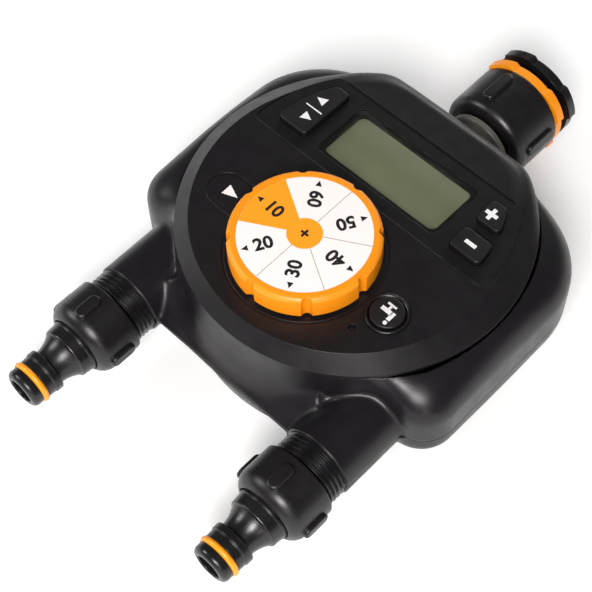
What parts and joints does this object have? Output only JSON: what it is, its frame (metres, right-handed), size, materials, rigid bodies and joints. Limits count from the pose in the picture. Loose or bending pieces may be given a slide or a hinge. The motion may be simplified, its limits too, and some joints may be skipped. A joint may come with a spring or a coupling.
{
  "type": "two outlet drip irrigation timer",
  "caption": "Battery water timer with a round control dial, small display and keys, twin screw-on hose outlets and a threaded tap inlet.",
  "frame": {"origin": "centre of the flat back in X, midway between the inlet end and the outlet ends in Y, on the back plane in Z", "axes": "+X to the right seen from the front, +Y from the outlets towards the tap inlet, +Z out of the dial"},
  "size_m": [0.1426, 0.2222, 0.0688],
  "materials": {
    "case_plastic": "satin, fine moulded texture",
    "panel_plastic": "smooth, low sheen",
    "key_plastic": "matt, moulded keys",
    "key_ring": "satin grey",
    "knob_plastic": "satin orange, moulded",
    "dial_print": "printed label, white with one orange sector",
    "clear_window": "polished, clear",
    "display": "grey green liquid crystal",
    "inner_plastic": "plain moulded",
    "board": "solder resist, satin",
    "steel": "drawn and plated",
    "coil": "moulded coil cover",
    "seal_rubber": "moulded, matt",
    "valve_plastic": "glass filled, satin",
    "orange_thread": "satin orange, moulded",
    "grey_spigot": "satin grey",
    "cell_jacket": "printed jacket, plain",
    "filter_mesh": "woven mesh"
  },
  "bodies": {
    "case": {"front_cap": "case_plastic", "control_panel": "panel_plastic", "lcd_lens": "clear_window", "lcd_frame": "panel_plastic", "lcd_glass": "display", "lcd_backlight": "inner_plastic", "manual_button_ring": "key_ring", "circuit_board": "board", "board_screws": "steel", "key_switches": "panel_plastic", "dial_seal": "seal_rubber", "rotary_switch": "panel_plastic", "front_housing": "case_plastic", "rear_housing": "case_plastic", "housing_screws": "steel", "housing_gasket": "seal_rubber", "battery_box": "inner_plastic", "batteries": "cell_jacket", "battery_contacts": "steel", "battery_cover": "case_plastic", "battery_gasket": "seal_rubber", "inlet_manifold": "inner_plastic", "inlet_spigot": "grey_spigot", "inlet_filter": "filter_mesh", "left_valve_body": "valve_plastic", "right_valve_body": "valve_plastic", "left_solenoid": "coil", "right_solenoid": "coil", "left_diaphragm": "seal_rubber", "right_diaphragm": "seal_rubber", "left_plunger_spring": "steel", "right_plunger_spring": "steel"},
    "dial": {"dial_knob": "knob_plastic", "dial_label": "dial_print", "dial_shaft": "inner_plastic"},
    "lr_key": {"lr_button": "key_plastic"},
    "plus_key": {"plus_button": "key_plastic"},
    "minus_key": {"minus_button": "key_plastic"},
    "manual_key": {"manual_button": "key_plastic"},
    "reset_pin": {"reset_plunger": "inner_plastic"},
    "left_armature": {"left_plunger": "steel"},
    "right_armature": {"right_plunger": "steel"},
    "union_nut": {"inlet_union_nut": "case_plastic"},
    "big_adapter": {"large_adapter": "orange_thread"},
    "big_seal": {"union_washer": "seal_rubber"},
    "little_adapter": {"small_adapter": "valve_plastic", "tap_washer": "seal_rubber"},
    "little_seal": {"adapter_washer": "seal_rubber"},
    "left_nut": {"left_connector_nut": "valve_plastic"},
    "right_nut": {"right_connector_nut": "valve_plastic"},
    "left_nose": {"left_hose_nose": "valve_plastic", "left_nose_oring": "seal_rubber", "left_connector_washer": "seal_rubber"},
    "right_nose": {"right_hose_nose": "valve_plastic", "right_nose_oring": "seal_rubber", "right_connector_washer": "seal_rubber"}
  },
  "joints": [
    {"name": "dial_turn", "type": "hinge", "parent": "case", "child": "dial", "pos_m": [0, -0.0172, 0.068], "axis": [0, 0, 1], "continuous": true},
    {"name": "lr_press", "type": "slide", "parent": "case", "child": "lr_key", "axis": [0, 0, -1], "range_m": [0, 0.0008], "stiffness_N_per_m": 400},
    {"name": "plus_press", "type": "slide", "parent": "case", "child": "plus_key", "axis": [0, 0, -1], "range_m": [0, 0.0008], "stiffness_N_per_m": 400},
    {"name": "minus_press", "type": "slide", "parent": "case", "child": "minus_key", "axis": [0, 0, -1], "range_m": [0, 0.0008], "stiffness_N_per_m": 400},
    {"name": "manual_press", "type": "slide", "parent": "case", "child": "manual_key", "axis": [0, 0, -1], "range_m": [0, 0.0008], "stiffness_N_per_m": 400},
    {"name": "reset_press", "type": "slide", "parent": "case", "child": "reset_pin", "axis": [0, 0, -1], "range_m": [0, 0.0008], "stiffness_N_per_m": 400},
    {"name": "left_armature_slide", "type": "slide", "parent": "case", "child": "left_armature", "axis": [1, 0, 0], "range_m": [0, 0.0012], "stiffness_N_per_m": 300, "deforming": ["left_plunger_spring"]},
    {"name": "right_armature_slide", "type": "slide", "parent": "case", "child": "right_armature", "axis": [-1, 0, 0], "range_m": [0, 0.0012], "stiffness_N_per_m": 300, "deforming": ["right_plunger_spring"]},
    {"name": "union_nut_turn", "type": "hinge", "parent": "case", "child": "union_nut", "pos_m": [0, 0.0893, 0.0268], "axis": [0, 1, 0], "continuous": true},
    {"name": "large_adapter_travel", "type": "slide", "parent": "case", "child": "big_seal", "axis": [0, 1, 0], "range_m": [0, 0.01155]},
    {"name": "large_adapter_turn", "type": "hinge", "parent": "big_seal", "child": "big_adapter", "pos_m": [0, 0.102, 0.0268], "axis": [0, 1, 0], "range_deg": [0, 1800]},
    {"name": "small_adapter_travel", "type": "slide", "parent": "big_adapter", "child": "little_seal", "axis": [0, 1, 0], "range_m": [0, 0.00727]},
    {"name": "small_adapter_turn", "type": "hinge", "parent": "little_seal", "child": "little_adapter", "pos_m": [0, 0.109, 0.0268], "axis": [0, 1, 0], "range_deg": [0, 1440]},
    {"name": "left_connector_travel", "type": "slide", "parent": "case", "child": "left_nose", "axis": [0, -1, 0], "range_m": [0, 0.00727]},
    {"name": "left_connector_turn", "type": "hinge", "parent": "left_nose", "child": "left_nut", "pos_m": [-0.04604, -0.077, 0.0268], "axis": [0, -1, 0], "range_deg": [0, 1440]},
    {"name": "right_connector_travel", "type": "slide", "parent": "case", "child": "right_nose", "axis": [0, -1, 0], "range_m": [0, 0.00727]},
    {"name": "right_connector_turn", "type": "hinge", "parent": "right_nose", "child": "right_nut", "pos_m": [0.04604, -0.077, 0.0268], "axis": [0, -1, 0], "range_deg": [0, 1440]}
  ],
  "couplings": [
    {"joint": "large_adapter_travel", "follows": "large_adapter_turn", "m_per_rad": 0.00036749},
    {"joint": "small_adapter_travel", "follows": "small_adapter_turn", "m_per_rad": 0.00028871},
    {"joint": "left_connector_travel", "follows": "left_connector_turn", "m_per_rad": 0.00028871},
    {"joint": "right_connector_travel", "follows": "right_connector_turn", "m_per_rad": 0.00028871}
  ]
}
